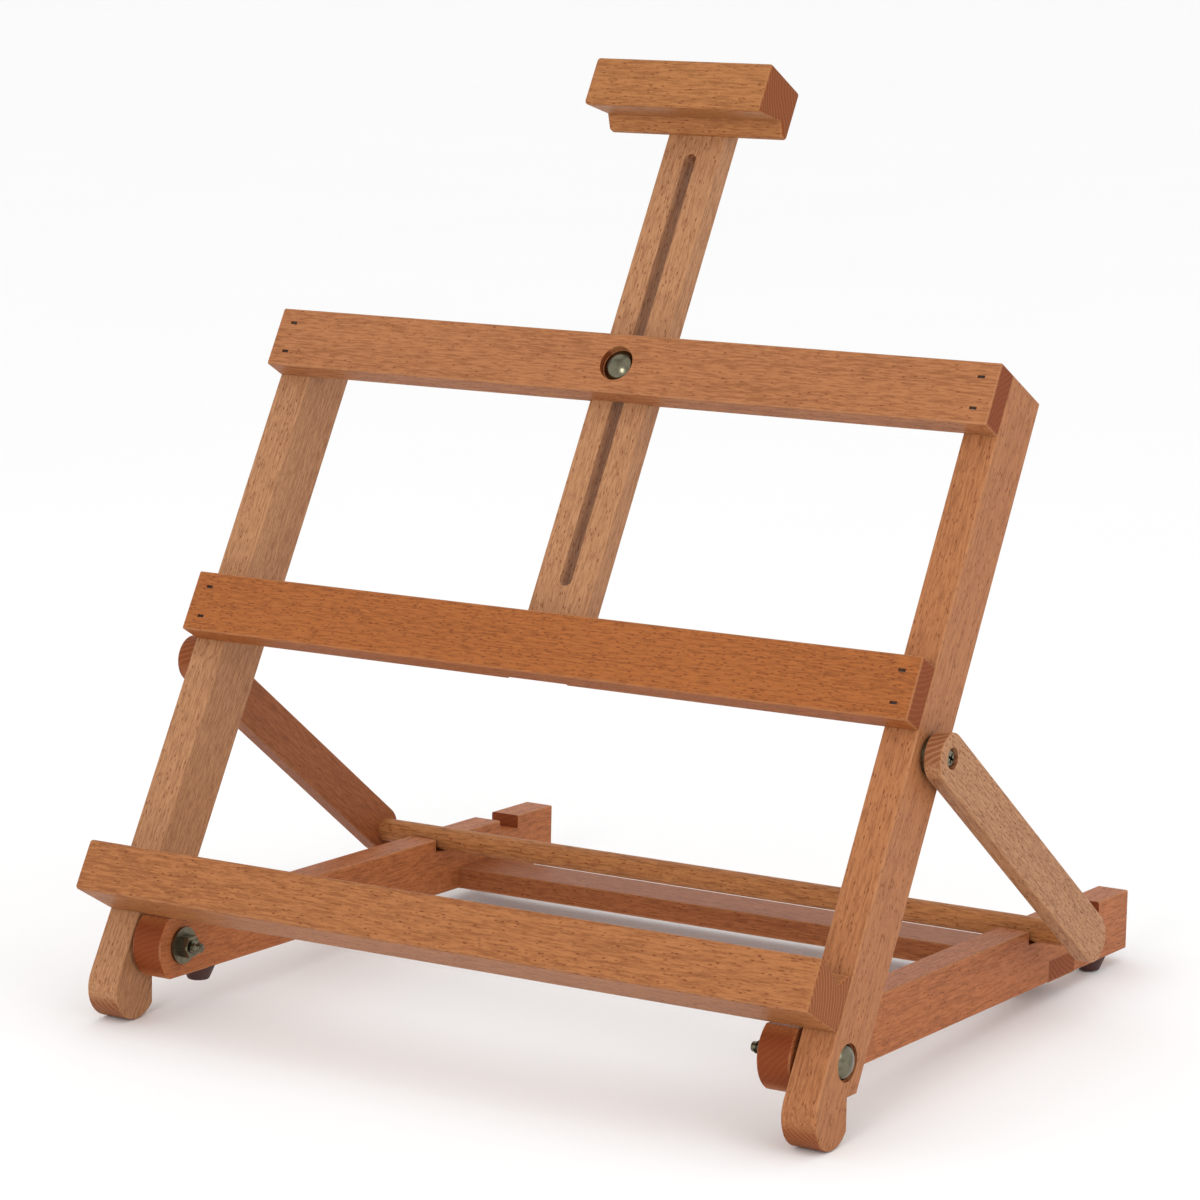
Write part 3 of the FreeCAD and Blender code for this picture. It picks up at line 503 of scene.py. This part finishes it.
def outward(piece):
    """Closes small holes and turns every face outwards."""
    alone(piece)
    bpy.ops.object.mode_set(mode="EDIT")
    bpy.ops.mesh.select_all(action="SELECT")
    bpy.ops.mesh.remove_doubles(threshold=0.00001)
    bpy.ops.mesh.fill_holes(sides=0)
    bpy.ops.mesh.normals_make_consistent(inside=False)
    bpy.ops.object.mode_set(mode="OBJECT")


def smooth(piece, degrees):
    """Smooth shading with sharp edges kept."""
    alone(piece)
    bpy.ops.object.shade_smooth_by_angle(angle=math.radians(degrees))


def aimed(position, direction):
    """The placement that turns +Z to a direction at a position."""
    turn = Vector(direction).normalized().to_track_quat("Z", "Y")
    return Matrix.Translation(Vector(position)) @ turn.to_matrix().to_4x4()


# ---- bolts ---------------------------------------------------------------------------------
def bolt_head(radius, height):
    """A domed head below z = 0, cut from a sphere, with a softly rounded rim."""
    bpy.ops.object.select_all(action="DESELECT")
    sphere = (radius**2 + height**2) / (2 * height)
    bpy.ops.mesh.primitive_uv_sphere_add(segments=64, ring_count=96, radius=sphere,
                                         location=(0, 0, sphere - height))
    head = settle(started("head"))
    alone(head)
    bpy.ops.object.mode_set(mode="EDIT")
    bpy.ops.mesh.select_all(action="SELECT")
    bpy.ops.mesh.bisect(plane_co=(0, 0, 0), plane_no=(0, 0, 1), use_fill=True, clear_outer=True)
    leave_edit()
    pick_faces(head, lambda face: face.normal.z > 0.99 and abs(face.center.z) < 0.1 * MM)
    bpy.ops.mesh.region_to_loop()
    bpy.ops.mesh.bevel(offset=0.35 * MM, segments=3, profile=0.5)
    leave_edit()
    return head


def thread(core, settings, start, end):
    """A helical ridge from start to end along Z, standing on the core."""
    bpy.ops.object.select_all(action="DESELECT")
    pitch = settings.thread_pitch
    bpy.ops.mesh.primitive_circle_add(vertices=3, radius=pitch * 0.52, fill_type="NOTHING")
    ridge = started("ridge")
    upright = Matrix.Rotation(math.radians(90), 4, "X") @ Matrix.Rotation(math.radians(-90), 4, "Z")
    reach = settings.bolt_radius - pitch * 0.52
    settle(ridge, Matrix.Translation((max(reach, core * 0.9), 0, start)) @ upright)
    turns = max(1, int((end - start) / pitch))
    apply_modifier(ridge, "SCREW", axis="Z", screw_offset=pitch, iterations=turns, steps=28,
                   render_steps=28, use_merge_vertices=True)
    outward(ridge)
    return ridge


def carriage_bolt(name, body, node, head_point, direction, head_radius, span, settings):
    """A carriage bolt with a domed head, a square neck and a threaded end."""
    core = settings.bolt_radius - settings.thread_depth
    shank_end = span - settings.head_height
    thread_start = shank_end - settings.thread_length
    head = bolt_head(head_radius, settings.head_height)
    bpy.ops.object.select_all(action="DESELECT")
    bpy.ops.mesh.primitive_cube_add(size=2 * settings.bolt_radius, location=(0, 0, settings.neck_length / 2))
    neck = started("neck")
    neck.scale.z = settings.neck_length / (2 * settings.bolt_radius)
    settle(neck)
    apply_modifier(neck, "BEVEL", width=0.4 * MM, segments=2)
    bpy.ops.object.select_all(action="DESELECT")
    bpy.ops.mesh.primitive_cylinder_add(vertices=40, radius=settings.bolt_radius, depth=thread_start,
                                        location=(0, 0, thread_start / 2))
    shank = settle(started("shank"))
    bpy.ops.object.select_all(action="DESELECT")
    run = settings.thread_length
    bpy.ops.mesh.primitive_cylinder_add(vertices=40, radius=core, depth=run,
                                        location=(0, 0, thread_start + run / 2))
    tip = settle(started("tip"))
    pick_faces(tip, lambda face: face.normal.z > 0.9)
    bpy.ops.mesh.region_to_loop()
    bpy.ops.mesh.bevel(offset=0.7 * MM, segments=2)
    leave_edit()
    ridge = thread(core, settings, thread_start, shank_end - 1.6 * MM)
    bolt = welded(name, [head, neck, shank, tip, ridge])
    settle(bolt, aimed(head_point, direction) @ Matrix.Translation((0, 0, settings.head_height)))
    smooth(bolt, 32)
    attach(bolt, body)
    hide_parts(node)
    return bolt


# ---- wing nut ------------------------------------------------------------------------------
def wing(side, settings, span, height):
    """One wing: a round tip drawn down to a narrow root in the hub."""
    bpy.ops.object.select_all(action="DESELECT")
    tip = settings.wing_tip_radius
    bpy.ops.mesh.primitive_cylinder_add(vertices=48, radius=tip, depth=settings.wing_thickness,
                                        rotation=(math.radians(90), 0, 0))
    piece = settle(started("wing"))
    middle = Vector((span / 2 - tip, 0, height - tip))
    root = Vector((settings.hub_radius * 0.45, 0, settings.hub_height * 0.5))
    inward = (root - middle).normalized()
    inner = [vertex.index for vertex in piece.data.vertices if vertex.co.dot(inward) > tip * 0.02]
    settle(piece, Matrix.Translation(middle))
    alone(piece)
    bpy.ops.object.mode_set(mode="EDIT")
    bpy.ops.mesh.select_mode(type="VERT")
    bpy.ops.mesh.select_all(action="DESELECT")
    bpy.ops.object.mode_set(mode="OBJECT")
    for index in inner:
        piece.data.vertices[index].select = True
    bpy.ops.object.mode_set(mode="EDIT")
    bpy.ops.transform.translate(value=root - middle)
    leave_edit()
    apply_modifier(piece, "BEVEL", width=0.7 * MM, segments=3, limit_method="ANGLE")
    if side < 0:
        settle(piece, Matrix.Scale(-1, 4, (1, 0, 0)))
    outward(piece)
    return piece


def wing_nut_piece(settings):
    """A cast wing nut on the mast's bolt: a tapered hub with a bore and two upswept wings."""
    low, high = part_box("wing_nut")
    joint = next(item for item in frame["record"]["behaviour"]["joints"] if item["name"] == "wing_nut_turn")
    axis = Vector(joint["axis"]).normalized()
    span = high[0] - low[0]
    corners = [vertex.co for vertex in frame["nodes"]["wing_nut"].data.vertices]
    heights = [corner.dot(axis) for corner in corners]
    seat_height = min(heights)
    height = max(heights) - seat_height
    origin = Vector(joint["pos_m"])
    seat = origin + axis * (seat_height - origin.dot(axis))

    bpy.ops.object.select_all(action="DESELECT")
    bpy.ops.mesh.primitive_cone_add(vertices=56, radius1=settings.hub_radius,
                                    radius2=settings.hub_radius - HUB_TAPER,
                                    depth=settings.hub_height, location=(0, 0, settings.hub_height / 2))
    nut = settle(started("wing_nut_cast"))
    apply_modifier(nut, "BEVEL", width=HUB_ROUNDING, segments=3, limit_method="ANGLE",
                   angle_limit=math.radians(50))
    for side in (-1, 1):
        cutter = wing(side, settings, span, height)
        apply_modifier(nut, "BOOLEAN", operation="UNION", object=cutter, solver="EXACT")
        bpy.data.objects.remove(cutter)
    bpy.ops.object.select_all(action="DESELECT")
    bpy.ops.mesh.primitive_cylinder_add(vertices=40, radius=settings.bolt_radius + THREAD_PLAY,
                                        depth=height * 3)
    drill = started("drill")
    apply_modifier(nut, "BOOLEAN", operation="DIFFERENCE", object=drill, solver="EXACT")
    bpy.data.objects.remove(drill)
    settle(nut, aimed(seat, axis))
    smooth(nut, 40)
    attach(nut, "wing_nut")
    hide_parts("wing_nut")
    return nut


# ---- operators -----------------------------------------------------------------------------
class EASEL_OT_boards(bpy.types.Operator):
    """Give every wooden piece its own oiled beech"""
    bl_idname = "easel.boards"
    bl_label = "Oil the beech"
    bl_options = {"REGISTER", "UNDO"}

    def execute(self, context):
        """One material per board, with its own tone and its own place in the tree."""
        settings = context.scene.easel_beech
        for seed, (node, (tone, stain, depth)) in enumerate(WOODEN_NODES.items(), start=1):
            paint(frame["nodes"][node], beech_material(node, tone, stain, depth, seed, settings))
        return {"FINISHED"}


class EASEL_OT_fixings(bpy.types.Operator):
    """Plate the washers, nuts and screws, and darken the brads"""
    bl_idname = "easel.fixings"
    bl_label = "Finish the fixings"
    bl_options = {"REGISTER", "UNDO"}

    def execute(self, context):
        """The small hardware keeps its shape and gets its finish."""
        settings = context.scene.easel_hardware
        # The plated pieces take the zinc tint, which has painted dark reflections darkened into it.
        zinc = steel_material("zinc_plate", settings.zinc, 0.24, 0.7)
        dark = steel_material("dark_steel", settings.dark_steel, 0.55, 0.5)
        for node in STEEL_NODES:
            paint(frame["nodes"][node], zinc)
        for node in DARK_STEEL_NODES:
            paint(frame["nodes"][node], dark)
        return {"FINISHED"}


class EASEL_OT_bolts(bpy.types.Operator):
    """Model the carriage bolts with their threaded ends"""
    bl_idname = "easel.bolts"
    bl_label = "Model the bolts"
    bl_options = {"REGISTER", "UNDO"}

    def execute(self, context):
        """Two pivot bolts across the base, and the mast's bolt."""
        settings = context.scene.easel_hardware
        # The bolts' plating uses the zinc tint, which has painted dark reflections darkened into it.
        plate = steel_material("bolt_plate", settings.zinc, 0.13, 0.8)
        for side, sign in (("left", -1), ("right", 1)):
            node = "pivot_bolt_" + side
            low, high = (Vector(corner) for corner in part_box(node))
            middle = (low + high) / 2
            outer = Vector((high.x if sign > 0 else low.x, middle.y, middle.z))
            bolt = carriage_bolt(node + "_threaded", "frame", node, outer, (-sign, 0, 0),
                                 (high.z - low.z) / 2, high.x - low.x, settings)
            paint(bolt, plate)
        joint = next(item for item in frame["record"]["behaviour"]["joints"]
                     if item["name"] == "wing_nut_turn")
        axis = Vector(joint["axis"]).normalized()
        origin = Vector(joint["pos_m"])
        heights = [vertex.co.dot(axis) for vertex in frame["nodes"]["mast_bolt"].data.vertices]
        front = origin + axis * (min(heights) - origin.dot(axis))
        low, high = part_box("mast_bolt")
        bolt = carriage_bolt("mast_bolt_threaded", "frame", "mast_bolt", front, axis,
                             (high[0] - low[0]) / 2, max(heights) - min(heights), settings)
        paint(bolt, plate)
        return {"FINISHED"}


class EASEL_OT_wing_nut(bpy.types.Operator):
    """Model the cast wing nut behind the mast"""
    bl_idname = "easel.wing_nut"
    bl_label = "Model the wing nut"
    bl_options = {"REGISTER", "UNDO"}

    def execute(self, context):
        """The nut replaces its plain stand-in."""
        settings = context.scene.easel_hardware
        # The wing nut's plating uses the zinc tint, which has painted dark reflections darkened into it.
        paint(wing_nut_piece(settings), steel_material("wing_nut_plate", settings.zinc, 0.36, 0.9))
        return {"FINISHED"}


class EASEL_OT_feet(bpy.types.Operator):
    """Give the feet their dark rubber"""
    bl_idname = "easel.feet"
    bl_label = "Finish the feet"
    bl_options = {"REGISTER", "UNDO"}

    def execute(self, context):
        """One rubber for all four feet."""
        rubber = rubber_material(context.scene.easel_hardware)
        for node in FEET:
            paint(frame["nodes"][node], rubber)
        return {"FINISHED"}


class EASEL_OT_stage(bpy.types.Operator):
    """Set up the floor, the lights and the camera"""
    bl_idname = "easel.stage"
    bl_label = "Set the stage"
    bl_options = {"REGISTER", "UNDO"}

    def execute(self, context):
        """A pale floor that runs into a pale sky, soft light and one camera."""
        settings = context.scene.easel_stage
        make_floor(settings)
        make_lights(settings)
        make_camera(context.scene, settings)
        context.scene.view_settings.view_transform = "Standard"
        return {"FINISHED"}


def make_floor(settings):
    """A wide round floor with a barely uneven matt surface."""
    bpy.ops.object.select_all(action="DESELECT")
    bpy.ops.mesh.primitive_circle_add(vertices=96, radius=14.0, fill_type="NGON", location=(0, 0, -0.0002))
    floor = settle(started("studio_floor"))
    nodes = Nodes("studio_floor")
    source = nodes.add("ShaderNodeTexCoord").outputs["Object"]
    shade = nodes.noise(source, scale=3.0, detail=2.0)
    nodes.feed(nodes.shader.inputs["Base Color"],
               nodes.blend(shade, opaque(settings.floor), opaque(settings.floor, 0.985)))
    nodes.shader.inputs["Roughness"].default_value = 0.85
    nodes.shader.inputs["Specular IOR Level"].default_value = 0.15
    paint(floor, nodes.material)


def area_light(name, power, size, position, target):
    """A square soft light aimed at a point."""
    data = bpy.data.lights.new(name, "AREA")
    data.energy = power
    data.size = size
    lamp = bpy.data.objects.new(name, data)
    lamp.matrix_world = aimed(position, Vector(position) - Vector(target))
    bpy.context.collection.objects.link(lamp)


def make_lights(settings):
    """Even white surroundings, a low key in front and a weaker fill at the right."""
    world = bpy.data.worlds.new("studio_sky")
    world.use_nodes = True
    background = world.node_tree.nodes["Background"]
    background.inputs["Color"].default_value = (1.0, 1.0, 1.0, 1.0)
    background.inputs["Strength"].default_value = settings.sky
    bpy.context.scene.world = world
    aim = (0.0, 0.0, 0.2)
    area_light("key_light", settings.key_power, 0.6, (0.3, -2.0, 0.95), aim)
    area_light("fill_light", settings.fill_power, 1.0, (1.8, -0.5, 1.0), aim)


def make_camera(scene, settings):
    """The camera looks at the aim point from the front right, a little above."""
    data = bpy.data.cameras.new("camera")
    data.lens = settings.lens
    data.sensor_width = 36.0
    data.clip_end = 50.0
    camera = bpy.data.objects.new("camera", data)
    azimuth, elevation = settings.azimuth, settings.elevation
    back = Vector((math.sin(azimuth) * math.cos(elevation), -math.cos(azimuth) * math.cos(elevation),
                   math.sin(elevation)))
    aim = Vector((settings.aim_side, 0.0, settings.aim_height))
    turn = (-back).to_track_quat("-Z", "Y").to_matrix().to_4x4() @ Matrix.Rotation(settings.roll, 4, "Z")
    camera.matrix_world = Matrix.Translation(aim + back * settings.distance) @ turn
    bpy.context.collection.objects.link(camera)
    scene.camera = camera


class EASEL_PT_panel(bpy.types.Panel):
    """The easel's steps in the sidebar"""
    bl_idname = "EASEL_PT_panel"
    bl_label = "Table Easel"
    bl_space_type = "VIEW_3D"
    bl_region_type = "UI"
    bl_category = "Easel"

    def draw(self, context):
        """One button per step."""
        for operator in STEPS:
            self.layout.operator(operator.bl_idname)


STEPS = (EASEL_OT_boards, EASEL_OT_fixings, EASEL_OT_bolts, EASEL_OT_wing_nut, EASEL_OT_feet, EASEL_OT_stage)
GROUPS = {"easel_beech": EaselBeech, "easel_hardware": EaselHardware, "easel_stage": EaselStage}


def register():
    """Registers the settings, the steps and the panel."""
    for group in GROUPS.values():
        bpy.utils.register_class(group)
    for step in STEPS:
        bpy.utils.register_class(step)
    bpy.utils.register_class(EASEL_PT_panel)
    for name, group in GROUPS.items():
        setattr(bpy.types.Scene, name, bpy.props.PointerProperty(type=group))


def unregister():
    """Takes everything back out."""
    for name in GROUPS:
        delattr(bpy.types.Scene, name)
    bpy.utils.unregister_class(EASEL_PT_panel)
    for step in reversed(STEPS):
        bpy.utils.unregister_class(step)
    for group in GROUPS.values():
        bpy.utils.unregister_class(group)


def main():
    """Registers the settings, the steps and the panel, and runs every step in order."""
    register()
    for step in STEPS:
        family, action = step.bl_idname.split(".")
        getattr(getattr(bpy.ops, family), action)()


if __name__ == "__main__":
    main()
